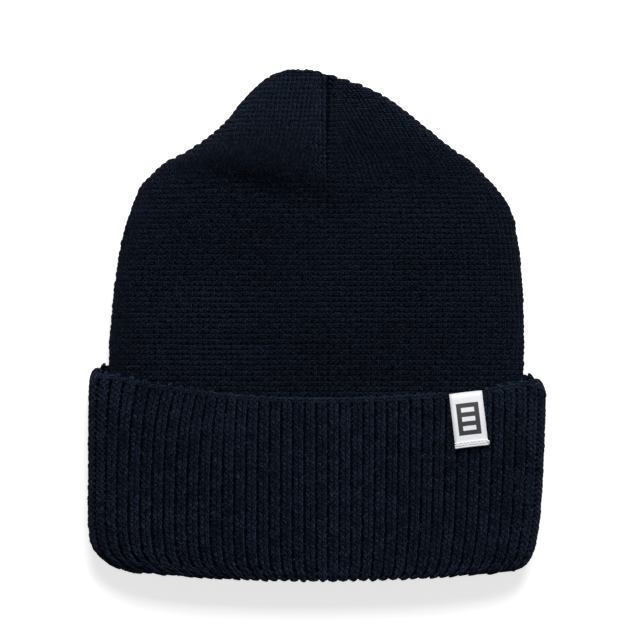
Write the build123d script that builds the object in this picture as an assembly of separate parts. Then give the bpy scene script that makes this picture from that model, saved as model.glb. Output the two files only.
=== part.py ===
"""Knit beanie with a turned-up cuff, lying flat on its back. Millimetres.

Frame: X runs across the hat, +Y from the mouth to the crown, +Z up from the surface that it lies on.
The origin is on that surface, under the middle of the hat.

One tube of 1x1 rib knit makes the hat. Its lower end is turned up over itself as the cuff, and its
upper end is closed by four darts, at the front, the back and both sides, which cut the crown into
four gores. Each stretch of the knit is a node of its own: the crown gores, the body tube, the layer
under the cuff, the fold at the mouth, the cuff band and the finished hem. The dart seams, the closing
stitch, the folded label and its stitches are the separate pieces sewn onto it.
"""

import math
import os

from build123d import *

# ---- Driving dimensions ----
HAT_LENGTH = 242.5  # mouth to crown tip, with the cuff turned up
CUFF_WIDTH = 214.0  # across the flattened cuff
CUFF_HEIGHT = 26.0  # the four layers at the mouth with the air between them
CUFF_DEPTH = 88.0  # mouth to hem, on the middle line
SIDE_GAP = 7.0  # air at each side between the cuff and the tube
BODY_HEIGHT = 24.0  # the tube's loft above the cuff
CROWN_DEPTH = 70.0  # length of the darts
CROWN_HEIGHT = 18.0  # the crown's loft halfway up the darts
TIP_WIDTH = 24.0  # the gathered end of the crown
TIP_HEIGHT = 13.0
TIP_SHIFT = -4.0  # the crown leans to one side
SEAM_SHIFT = 3.0  # the front dart lies this far beside the middle
KNIT = 3.0  # one layer of rib knit
LAYER_GAP = 1.4  # between the turned-up layer and the tube
HEM_BOW = 10.0  # the hem's ends stand this much higher than its middle
HEM_DEPTH = 4.0  # the finished edge's width
MOUTH_BOW = 4.5  # the mouth's ends stand this much higher than its middle
FOLD_DEPTH = 5.0  # how far the fold reaches in from the mouth's ends
CORNER = 12.0  # how far the cuff's lower corners round in
HEM_CORNER = 8.0  # how far the hem hugs in at each side
SEAM_BEAD = 1.5  # thickness of an overlocked dart seam inside the crown
SEAM_WIDTH = 3.0
SEAT = 0.15  # the air that sewn pieces leave against the knit
LABEL_WIDTH = 15.7
LABEL_LENGTH = 26.0  # one leg of the folded ribbon
LABEL_THICKNESS = 0.45
LABEL_INSET = 36.5  # from the side of the cuff to the middle of the label
LABEL_TILT = 7.0  # degrees, towards the left at the top
STITCH_COUNT = 8
STITCH_LENGTH = 2.6
STITCH_RADIUS = 0.22
STITCH_INSET = 1.7  # from the label's cut ends to the stitch row
KNOT_LENGTH = 9.0
KNOT_RADIUS = 0.9

# ---- Derived places ----
CROWN_START = HAT_LENGTH - CROWN_DEPTH
LABEL_X = CUFF_WIDTH / 2 - LABEL_INSET
BODY_WIDTH = CUFF_WIDTH - 2 * (KNIT + SIDE_GAP)  # across the flattened tube at the hem
HEM_END = CUFF_DEPTH + HEM_BOW  # the hem's height at the sides
HEM_BASE = CUFF_DEPTH - HEM_DEPTH
FOLD_TOP = MOUTH_BOW + FOLD_DEPTH
TUBE_BASE = KNIT + LAYER_GAP  # the tube lies on the turned-up back layer
TUBE_TOP = CUFF_HEIGHT - TUBE_BASE
MOUTH_WIDTH = CUFF_WIDTH - 2 * CORNER  # across the cuff at its rounded lower corners
TUBE_MOUTH_WIDTH = MOUTH_WIDTH - 2 * TUBE_BASE
MIDDLE = BODY_HEIGHT / 2  # height of the side darts
FAR = 2 * HAT_LENGTH
SHIFT = Location((0, -HAT_LENGTH / 2, 0))  # from the mouth to the middle of the hat


def section(y, width, low, high, middle=0.0, inset=0.0):
    """A flattened ring outline across the hat at y: flat on top and below, and round at the sides."""
    wide = width - 2 * inset
    tall = high - low - 2 * inset
    round_side = RectangleRounded(wide, tall, 0.48 * min(wide, tall))
    across = Plane(origin=(middle, y, (low + high) / 2), x_dir=(1, 0, 0), z_dir=(0, -1, 0))
    return across * round_side


def between(start, end, share):
    """The value at that share of the way from start to end."""
    return start + (end - start) * share


def tube_sections(inset):
    """Outlines of the tube and crown, from the mouth up. A larger inset gives a surface further in."""
    # Each row: y, width, low, high, middle.
    flat = 0.0  # the surface that the hat lies on
    lift = TUBE_BASE
    droop = between(HEM_END, CROWN_START, 0.35)
    rows = [
        (-FOLD_DEPTH, TUBE_MOUTH_WIDTH, lift, TUBE_TOP, 0.0),
        (FOLD_TOP, between(TUBE_MOUTH_WIDTH, BODY_WIDTH, 0.7), lift, TUBE_TOP, 0.0),
        (between(FOLD_TOP, CUFF_DEPTH, 0.3), BODY_WIDTH, lift, TUBE_TOP, 0.0),
        (HEM_END, BODY_WIDTH, lift, TUBE_TOP, 0.0),
        (droop, BODY_WIDTH - 1.0, flat, BODY_HEIGHT, 0.0),
        (between(HEM_END, CROWN_START, 0.75), BODY_WIDTH - 5.0, flat, BODY_HEIGHT, 1.0),
        (CROWN_START, 0.945 * BODY_WIDTH, flat, between(CROWN_HEIGHT, BODY_HEIGHT, 0.85), 3.0),
    ]
    # The crown narrows like a bell: full shoulders, hollow flanks and a blunt tip.
    bell = ((0.24, 0.83, 0.55, 1.0), (0.42, 0.65, 0.25, 1.5), (0.58, 0.47, 0.0, 2.5))
    for along, wide, tall, middle in bell:
        y = CROWN_START + along * CROWN_DEPTH
        width = between(TIP_WIDTH, BODY_WIDTH, wide)
        rows.append((y, width, flat, between(CROWN_HEIGHT, BODY_HEIGHT, tall), middle))
    for along, wide, tall in ((0.8, 0.26, 0.5), (0.93, 0.10, 0.9)):
        y = CROWN_START + along * CROWN_DEPTH
        width = between(TIP_WIDTH, BODY_WIDTH, wide)
        middle = TIP_SHIFT * (along - 0.8) / 0.2
        rows.append((y, width, flat, between(CROWN_HEIGHT, TIP_HEIGHT, tall), middle))
    end = HAT_LENGTH - inset
    rows.append((end, TIP_WIDTH, flat, TIP_HEIGHT, TIP_SHIFT))
    return [section(y, w, low, high, middle, inset) for y, w, low, high, middle in rows]


def cuff_sections(inset):
    """Outlines of the turned-up band, from the mouth to the ends of the hem."""
    rows = [
        (-FOLD_DEPTH, MOUTH_WIDTH),
        (MOUTH_BOW, CUFF_WIDTH - 1.1 * CORNER),
        (MOUTH_BOW + 0.5 * CORNER, CUFF_WIDTH - 0.35 * CORNER),
        (MOUTH_BOW + 1.2 * CORNER, CUFF_WIDTH),
        (CUFF_DEPTH, CUFF_WIDTH),
        (HEM_END + 2, CUFF_WIDTH - HEM_CORNER),
    ]
    return [section(y, w, 0.0, CUFF_HEIGHT, 0.0, inset) for y, w in rows]


def slab(low_y, high_y):
    """Everything between two planes across the hat."""
    return Pos(0, (low_y + high_y) / 2, 0) * Box(FAR, high_y - low_y, FAR)


def bowed_slab(low_y, low_bow, high_y, high_bow):
    """Everything between two edges, each bowed up at the ends by its own amount."""
    half = CUFF_WIDTH / 2
    low = ThreePointArc((-half, low_y + low_bow), (0, low_y), (half, low_y + low_bow))
    high = ThreePointArc((-half, high_y + high_bow), (0, high_y), (half, high_y + high_bow))
    left = Line(low @ 0, high @ 0)
    right = Line(low @ 1, high @ 1)
    return Pos(0, 0, -FAR / 2) * extrude(make_face([low, right, high, left]), amount=FAR)


def tube_solid(inset):
    """The tube and crown as one solid, drawn in from the knit's outside by the inset."""
    return loft(tube_sections(inset), ruled=True)


def cuff_solid(inset):
    """The turned-up end as one solid, drawn in from the knit's outside by the inset."""
    return loft(cuff_sections(inset), ruled=True)


def tube_nodes():
    """The stretches of the tube: under the cuff, the body and the four gores of the crown."""
    shell = tube_solid(0.0) - tube_solid(KNIT)
    under = shell & bowed_slab(FOLD_DEPTH, MOUTH_BOW, HEM_BASE, HEM_BOW)
    body = (shell & slab(-FAR, CROWN_START)) - bowed_slab(-FAR, HEM_BOW, HEM_BASE, HEM_BOW)
    crown = shell & slab(CROWN_START, FAR)
    nodes = {"under_cuff_layer": under, "body_tube": body}
    for face, z in (("front", MIDDLE + FAR / 2), ("back", MIDDLE - FAR / 2)):
        for side, x in (("left", SEAM_SHIFT - FAR / 2), ("right", SEAM_SHIFT + FAR / 2)):
            nodes[f"crown_gore_{face}_{side}"] = crown & Pos(x, 0, z) * Box(FAR, FAR, FAR)
    return nodes


def seam_nodes():
    """The overlocked dart seams, as beads on the inside of the crown, and the stitch that closes it."""
    lining = tube_solid(KNIT + SEAT) - tube_solid(KNIT + SEAT + SEAM_BEAD)
    knot_end = HAT_LENGTH - KNIT - SEAT
    seam_end = knot_end - 2 * KNOT_RADIUS - SEAT
    bead = lining & slab(CROWN_START, seam_end)
    front = Pos(SEAM_SHIFT, 0, MIDDLE / 2 + FAR / 2) * Box(SEAM_WIDTH, FAR, FAR)
    back = Pos(SEAM_SHIFT, 0, MIDDLE / 2 - FAR / 2) * Box(SEAM_WIDTH, FAR, FAR)
    side_height = SEAM_WIDTH
    at_side = TIP_HEIGHT / 2
    reach = SEAM_WIDTH / 2 + TIP_WIDTH / 5
    left = Pos(SEAM_SHIFT - reach - FAR / 2, 0, at_side) * Box(FAR, FAR, side_height)
    right = Pos(SEAM_SHIFT + reach + FAR / 2, 0, at_side) * Box(FAR, FAR, side_height)
    knot_at = (TIP_SHIFT, knot_end - KNOT_RADIUS, TIP_HEIGHT / 2)
    knot = Pos(*knot_at) * Rot(0, 90, 0) * Cylinder(KNOT_RADIUS, KNOT_LENGTH)
    return {
        "crown_seam_front": bead & front,
        "crown_seam_back": bead & back,
        "crown_seam_left": bead & left,
        "crown_seam_right": bead & right,
        "crown_closing_stitch": knot,
    }


def cuff_nodes():
    """The turned-up end of the tube: the fold at the mouth, the band and its finished hem."""
    ring = cuff_solid(0.0) - cuff_solid(KNIT)
    fold_ring = cuff_solid(0.0) - tube_solid(KNIT)
    fold = fold_ring & bowed_slab(0, MOUTH_BOW, FOLD_DEPTH, MOUTH_BOW)
    band = ring & bowed_slab(FOLD_DEPTH, MOUTH_BOW, HEM_BASE, HEM_BOW)
    hem = ring & bowed_slab(HEM_BASE, HEM_BOW, CUFF_DEPTH, HEM_BOW)
    return {"cuff_fold": fold, "cuff_band": band, "cuff_hem": hem}


def hem_height(x):
    """How far the hem lies from the mouth at x."""
    half = CUFF_WIDTH / 2
    radius = (half**2 + HEM_BOW**2) / (2 * HEM_BOW)
    return CUFF_DEPTH + radius - math.sqrt(radius**2 - x**2)


def label_nodes():
    """The woven label, a ribbon folded over the hem, and the stitches across its cut ends."""
    top = hem_height(LABEL_X + LABEL_WIDTH / 2) + SEAT
    outside = CUFF_HEIGHT + SEAT
    inside = CUFF_HEIGHT - KNIT - SEAT
    thickness = LABEL_THICKNESS
    ribbon = (LABEL_WIDTH, LABEL_LENGTH, thickness)
    front = Pos(0, -LABEL_LENGTH / 2, outside + thickness / 2) * Box(*ribbon)
    back = Pos(0, -LABEL_LENGTH / 2, inside - thickness / 2) * Box(*ribbon)
    height = outside - inside + 2 * thickness
    bend = Pos(0, thickness / 2, (outside + inside) / 2) * Box(LABEL_WIDTH, thickness, height)
    bend = fillet(bend.edges().filter_by(Axis.X).group_by(Axis.Y)[-1], 0.9 * thickness)
    at_hem = Pos(LABEL_X, top, 0) * Rot(0, 0, LABEL_TILT)
    label = at_hem * (front + back + bend)
    row_y = -LABEL_LENGTH + STITCH_INSET
    stitch_z = outside + thickness + STITCH_RADIUS + SEAT / 3
    pitch = LABEL_WIDTH / STITCH_COUNT
    thread = Rot(90, 0, 0) * Cylinder(STITCH_RADIUS, STITCH_LENGTH)
    stitches = []
    for number in range(STITCH_COUNT):
        x = (number + 0.5) * pitch - LABEL_WIDTH / 2
        stitches.append(at_hem * Pos(x, row_y, stitch_z) * Rot(0, 0, 24) * thread)
    return {"hem_label": label, "label_stitches": Compound(stitches)}


def main():
    """Builds every node and writes it in the hat's own frame."""
    os.makedirs("parts", exist_ok=True)
    nodes = {**tube_nodes(), **seam_nodes(), **cuff_nodes(), **label_nodes()}
    for name, shape in nodes.items():
        export_step(SHIFT * shape, f"parts/{name}.step")


main()
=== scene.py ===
import logging
import math
from collections.abc import Sequence
from dataclasses import dataclass, field
from enum import Enum

import bmesh
import bpy
import numpy as np
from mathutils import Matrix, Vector


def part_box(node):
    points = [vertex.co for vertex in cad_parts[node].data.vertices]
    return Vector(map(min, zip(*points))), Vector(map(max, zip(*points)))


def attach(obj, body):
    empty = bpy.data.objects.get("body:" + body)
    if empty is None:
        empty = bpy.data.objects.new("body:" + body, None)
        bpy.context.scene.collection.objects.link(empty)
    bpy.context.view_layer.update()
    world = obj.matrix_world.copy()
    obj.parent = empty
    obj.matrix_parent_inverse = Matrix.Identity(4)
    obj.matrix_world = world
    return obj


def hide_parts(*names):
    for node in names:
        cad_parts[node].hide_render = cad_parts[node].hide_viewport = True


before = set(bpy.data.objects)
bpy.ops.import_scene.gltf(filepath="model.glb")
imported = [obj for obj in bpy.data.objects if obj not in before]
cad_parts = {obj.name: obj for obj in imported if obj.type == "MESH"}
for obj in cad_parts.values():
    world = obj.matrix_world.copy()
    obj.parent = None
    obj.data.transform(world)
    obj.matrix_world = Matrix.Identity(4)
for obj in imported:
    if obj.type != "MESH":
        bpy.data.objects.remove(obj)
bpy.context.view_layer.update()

LOG = logging.getLogger("beanie")
MM = 0.001


class Gore(Enum):
    """The four quarters of the hat, in order round it from the left side over the front."""

    FRONT_LEFT = 0
    FRONT_RIGHT = 1
    BACK_RIGHT = 2
    BACK_LEFT = 3


def linear(hex_colour: str) -> tuple[float, float, float, float]:
    """Turns an sRGB hex colour such as "1c2434" into linear RGBA."""
    channels = [int(hex_colour[i:i + 2], 16) / 255 for i in (0, 2, 4)]
    curved = [c / 12.92 if c <= 0.04045 else ((c + 0.055) / 1.055) ** 2.4 for c in channels]
    return (curved[0], curved[1], curved[2], 1.0)


def add(tree: bpy.types.NodeTree, kind: str, inputs: dict | None = None, **settings) -> bpy.types.Node:
    """Adds a node with its settings and links.

    Args:
        tree: the material's or modifier's node tree.
        kind: the node's type name.
        inputs: socket name or index to a value, or to an output socket that is linked in.
        **settings: attributes of the node.

    Returns:
        The new node.
    """
    node = tree.nodes.new(kind)
    for name, value in settings.items():
        setattr(node, name, value)
    for key, value in (inputs or {}).items():
        if isinstance(value, bpy.types.NodeSocket):
            tree.links.new(value, node.inputs[key])
        else:
            node.inputs[key].default_value = value
    return node


def blank_material(name: str) -> tuple[bpy.types.Material, bpy.types.NodeTree]:
    """Makes an empty material and gives it with its node tree."""
    material = bpy.data.materials.new(name)
    material.use_nodes = True
    material.node_tree.nodes.clear()
    return material, material.node_tree


def show(name: str, data: bpy.types.ID) -> bpy.types.Object:
    """Puts a mesh, curve, lamp or camera into the scene as an object."""
    thing = bpy.data.objects.new(name, data)
    bpy.context.scene.collection.objects.link(thing)
    return thing


def plain_mesh(thing: bpy.types.Object) -> bpy.types.Mesh:
    """The mesh that an object's modifiers or bevel give, on its own."""
    bpy.context.view_layer.update()
    return bpy.data.meshes.new_from_object(thing.evaluated_get(bpy.context.evaluated_depsgraph_get()))


def stand_in(piece: bpy.types.Object, node: str) -> None:
    """Lets a piece ride on the one body, in place of a node."""
    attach(piece, "root")
    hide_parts(node)


def unit(vectors: np.ndarray) -> np.ndarray:
    """Each row at length 1."""
    return vectors / np.maximum(np.linalg.norm(vectors, axis=-1, keepdims=True), 1e-9)


def smooth_curve(stations: Sequence[tuple[float, float]], at: np.ndarray) -> np.ndarray:
    """A smooth curve through stations of (place, value), without overshoot.

    Args:
        stations: places in rising order, each with its value.
        at: the places wanted.

    Returns:
        The value at each place.
    """
    x = np.array([s[0] for s in stations], float)
    v = np.array([s[1] for s in stations], float)
    slope = np.diff(v) / np.diff(x)
    tangent = np.zeros_like(v)
    same = slope[:-1] * slope[1:] > 0
    tangent[1:-1][same] = 2 * slope[:-1][same] * slope[1:][same] / (slope[:-1] + slope[1:])[same]
    tangent[0], tangent[-1] = slope[0], slope[-1]
    at = np.clip(np.asarray(at, float), x[0], x[-1])
    k = np.clip(np.searchsorted(x, at, side="right") - 1, 0, len(x) - 2)
    step = x[k + 1] - x[k]
    t = (at - x[k]) / step
    rise = v[k] * (2 * t**3 - 3 * t**2 + 1) + v[k + 1] * (3 * t**2 - 2 * t**3)
    return rise + step * (tangent[k] * (t**3 - 2 * t**2 + t) + tangent[k + 1] * (t**3 - t**2))


def bump(distance: np.ndarray) -> np.ndarray:
    """A bell of height 1 that falls off over a distance of about 1."""
    return np.exp(-distance**2)


# ---------------------------------------------------------------- finishes


@dataclass(frozen=True)
class YarnFinish:
    """Plied wool and acrylic yarn, piece-dyed and knitted: matt, with a faint sheen of fine fibres."""

    name: str
    dark: str
    pale: str
    sheen: float = 0.24
    roughness: float = 0.86
    fleck_mm: float = 2.1  # a ply takes the dye a little darker or paler over about one stitch
    cloud_mm: float = 30.0
    specular: float = 0.1
    ply_turns: float = 7.0  # turns of the two plies along one stitch
    unevenness: float = 11.0  # how far, in radians, the twist wanders
    cloud_share: float = 0.35
    lot_share: float = 0.45  # how much each stitch differs from the next
    tones: tuple[float, float] = (0.6, 1.25)  # the noise that gives the dark and the pale dye
    ply_shading: tuple[float, float] = (0.35, 1.25)  # brightness between and on the plies: painted shade between them, painted highlight on them
    relief_mm: float = 0.35
    sheen_roughness: float = 0.22
    sheen_tint: str = "5f80b0"

    def make(self) -> bpy.types.Material:
        """Builds the material."""
        material, tree = blank_material(self.name)
        place = add(tree, "ShaderNodeTexCoord")
        fleck = add(tree, "ShaderNodeTexNoise", {"Vector": place.outputs["Object"],
                    "Scale": 1 / (self.fleck_mm * MM), "Detail": 2.0, "Roughness": 0.6})
        cloud = add(tree, "ShaderNodeTexNoise", {"Vector": place.outputs["Object"],
                    "Scale": 1 / (self.cloud_mm * MM), "Detail": 1.0})
        both = add(tree, "ShaderNodeMath", {0: cloud.outputs["Fac"], 1: self.cloud_share,
                   2: fleck.outputs["Fac"]}, operation="MULTIPLY_ADD")
        lot = add(tree, "ShaderNodeAttribute", attribute_name="lot")
        stitch = add(tree, "ShaderNodeMath", {0: lot.outputs["Fac"], 1: self.lot_share,
                     2: both.outputs[0]}, operation="MULTIPLY_ADD")
        share = add(tree, "ShaderNodeMapRange", {"Value": stitch.outputs[0], "From Min": self.tones[0],
                    "From Max": self.tones[1]})
        tone = add(tree, "ShaderNodeMix", {"Factor": share.outputs[0], 6: linear(self.dark),
                   7: linear(self.pale)}, data_type="RGBA")
        # The two plies lie side by side in a twist, which the eye reads as fine slanting grains.
        yarn = add(tree, "ShaderNodeAttribute", attribute_name="yarn")
        lie = add(tree, "ShaderNodeSeparateXYZ", {0: yarn.outputs["Vector"]})
        angle = add(tree, "ShaderNodeMath", {0: lie.outputs[1], 1: lie.outputs[0]},
                    operation="ARCTAN2")
        doubled = add(tree, "ShaderNodeMath", {0: angle.outputs[0], 1: 2.0}, operation="MULTIPLY")
        uneven = add(tree, "ShaderNodeMath", {0: fleck.outputs["Fac"], 1: self.unevenness,
                     2: doubled.outputs[0]}, operation="MULTIPLY_ADD")
        twist = add(tree, "ShaderNodeMath", {0: lie.outputs[2], 1: self.ply_turns * 2 * math.pi,
                    2: uneven.outputs[0]}, operation="MULTIPLY_ADD")
        ply = add(tree, "ShaderNodeMath", {0: twist.outputs[0]}, operation="SINE")
        dent = add(tree, "ShaderNodeBump", {"Strength": 1.0, "Distance": self.relief_mm * MM,
                   "Height": ply.outputs[0]})
        # Painted shade in the grooves between the plies and painted highlight on their crowns,
        # multiplied into the colour beside the bump.
        ply_shading = add(tree, "ShaderNodeMapRange", {"Value": ply.outputs[0], "From Min": -1.0,
                    "To Min": self.ply_shading[0], "To Max": self.ply_shading[1]})
        tone = add(tree, "ShaderNodeMix", {"Factor": 1.0, 6: tone.outputs[2],
                   7: ply_shading.outputs[0]}, data_type="RGBA", blend_type="MULTIPLY")
        # Wool and acrylic both have an IOR near 1.5; the sheen is the halo of loose fibres.
        shader = add(tree, "ShaderNodeBsdfPrincipled", {"Base Color": tone.outputs[2],
                     "Roughness": self.roughness, "IOR": 1.5,
                     "Specular IOR Level": self.specular, "Normal": dent.outputs[0],
                     "Sheen Weight": self.sheen, "Sheen Roughness": self.sheen_roughness,
                     "Sheen Tint": linear(self.sheen_tint)})
        add(tree, "ShaderNodeOutputMaterial", {"Surface": shader.outputs[0]})
        return material


@dataclass(frozen=True)
class WovenSatinFinish:
    """Polyester satin ribbon, woven on a narrow loom: white, smooth, with a soft band of gloss."""

    name: str = "polyester_satin_woven"
    ground: str = "fbfcff"
    mark: str = "24262b"
    # painted shade: the colour of the hollows between the weft bands
    shade: str = "eceff5"
    picks: float = 26.0  # bands of weft along the ribbon, coarser than real so that they show
    # A plain frame with three bars, as shares of the ribbon's width and length.
    mark_box: tuple[float, float, float, float] = (0.16, 0.84, 0.11, 0.40)
    bar_inset: float = 0.14

    def make(self) -> bpy.types.Material:
        """Builds the material. It reads the ribbon's own UV: across, and along in ribbon lengths."""
        material, tree = blank_material(self.name)
        ribbon = add(tree, "ShaderNodeUVMap", uv_map="ribbon")
        split = add(tree, "ShaderNodeSeparateXYZ", {0: ribbon.outputs[0]})
        across, along = split.outputs[0], split.outputs[1]
        left, right, low, high = self.mark_box
        tall_bar = (high - low) / 7
        boxes = [(left, right, low, high)]
        for number in (1, 3, 5):
            base = low + number * tall_bar
            boxes.append((left + self.bar_inset, right - self.bar_inset, base, base + tall_bar))
        woven_in = None
        for x0, x1, y0, y1 in boxes:
            wide = add(tree, "ShaderNodeMath", {0: across, 1: (x0 + x1) / 2, 2: (x1 - x0) / 2},
                       operation="COMPARE")
            tall = add(tree, "ShaderNodeMath", {0: along, 1: (y0 + y1) / 2, 2: (y1 - y0) / 2},
                       operation="COMPARE")
            mask = add(tree, "ShaderNodeMath", {0: wide.outputs[0], 1: tall.outputs[0]},
                       operation="MULTIPLY")
            woven_in = mask if woven_in is None else add(tree, "ShaderNodeMath", {
                0: woven_in.outputs[0], 1: mask.outputs[0]}, operation="SUBTRACT")
        thread = add(tree, "ShaderNodeTexWave", {"Vector": ribbon.outputs[0], "Scale": self.picks,
                     "Distortion": 0.4, "Detail": 1.0}, wave_type="BANDS", bands_direction="Y")
        # The low part of each weft band takes the shade colour: painted shade in the weave's hollows,
        # beside the bump.
        shade = add(tree, "ShaderNodeMix", {"Factor": thread.outputs["Fac"],
                    6: linear(self.shade), 7: linear(self.ground)}, data_type="RGBA")
        colour = add(tree, "ShaderNodeMix", {"Factor": woven_in.outputs[0], 6: shade.outputs[2],
                     7: linear(self.mark)}, data_type="RGBA")
        relief = add(tree, "ShaderNodeBump", {"Height": thread.outputs["Fac"], "Strength": 0.35,
                     "Distance": 0.1 * MM})
        # Polyester has an IOR near 1.57; satin floats give it a gloss along the ribbon.
        shader = add(tree, "ShaderNodeBsdfPrincipled", {"Base Color": colour.outputs[2],
                     "Roughness": 0.5, "IOR": 1.57, "Normal": relief.outputs[0],
                     "Sheen Weight": 0.1})
        add(tree, "ShaderNodeOutputMaterial", {"Surface": shader.outputs[0]})
        return material


@dataclass(frozen=True)
class ThreadFinish:
    """Spun polyester sewing thread: small twisted plies with a soft shine."""

    name: str
    colour: str
    twist_mm: float = 0.5

    def make(self) -> bpy.types.Material:
        """Builds the material."""
        material, tree = blank_material(self.name)
        place = add(tree, "ShaderNodeTexCoord")
        ply = add(tree, "ShaderNodeTexNoise", {"Vector": place.outputs["Object"],
                  "Scale": 1 / (self.twist_mm * MM), "Detail": 1.0})
        relief = add(tree, "ShaderNodeBump", {"Height": ply.outputs["Fac"], "Strength": 0.3,
                     "Distance": 0.1 * MM})
        shader = add(tree, "ShaderNodeBsdfPrincipled", {"Base Color": linear(self.colour),
                     "Roughness": 0.62, "IOR": 1.57, "Normal": relief.outputs[0],
                     "Sheen Weight": 0.15})
        add(tree, "ShaderNodeOutputMaterial", {"Surface": shader.outputs[0]})
        return material


@dataclass(frozen=True)
class PaperFloorFinish:
    """Seamless white background paper: dead matt, with the hat's soft shadow on it."""

    name: str = "background_paper_matt"
    glow: float = 0.66

    def make(self) -> bpy.types.Material:
        """Builds the material; seen directly or in a reflection, the bare paper is white."""
        material, tree = blank_material(self.name)
        light = add(tree, "ShaderNodeLightPath")
        seen = add(tree, "ShaderNodeMath", {0: light.outputs["Is Camera Ray"],
                   1: light.outputs["Is Glossy Ray"]}, operation="MAXIMUM")
        seen = add(tree, "ShaderNodeMath", {0: seen.outputs[0],
                   1: light.outputs["Is Transmission Ray"]}, operation="MAXIMUM")
        strength = add(tree, "ShaderNodeMath", {0: seen.outputs[0], 1: self.glow},
                       operation="MULTIPLY")
        paper = add(tree, "ShaderNodeBsdfDiffuse", {"Color": linear("e9e7e7")})
        glow = add(tree, "ShaderNodeEmission", {"Color": (1, 1, 1, 1),
                   "Strength": strength.outputs[0]})
        both = add(tree, "ShaderNodeAddShader", {0: paper.outputs[0], 1: glow.outputs[0]})
        add(tree, "ShaderNodeOutputMaterial", {"Surface": both.outputs[0]})
        return material


@dataclass
class Wardrobe:
    """Every material of the hat, made once."""

    cuff_yarn: bpy.types.Material = field(default_factory=YarnFinish(
        "wool_acrylic_yarn_rib_knitted", "09101f", "20293b").make)
    # The body and the crown take the cuff's yarn in darker tones: painted shade for the lower light on
    # them.
    body_yarn_painted_shade: bpy.types.Material = field(default_factory=YarnFinish(
        "wool_acrylic_yarn_rib_knitted_body", "040914", "131a29").make)
    # The smooth ground stands for the yarn behind the loops, in tones darker than the cuff's yarn:
    # painted shade in the holes and grooves between the stitches.
    painted_shade_backing: bpy.types.Material = field(default_factory=YarnFinish(
        "wool_acrylic_purl_ground_knitted", "080d17", "0d1421", sheen=0.0, specular=0.02).make)
    satin: bpy.types.Material = field(default_factory=WovenSatinFinish().make)
    white_thread: bpy.types.Material = field(default_factory=ThreadFinish(
        "polyester_sewing_thread_spun_white", "f2f3f6").make)
    navy_thread: bpy.types.Material = field(default_factory=ThreadFinish(
        "polyester_overlock_thread_spun_navy", "1a2130").make)


# ---------------------------------------------------------------- the hat's form


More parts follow.
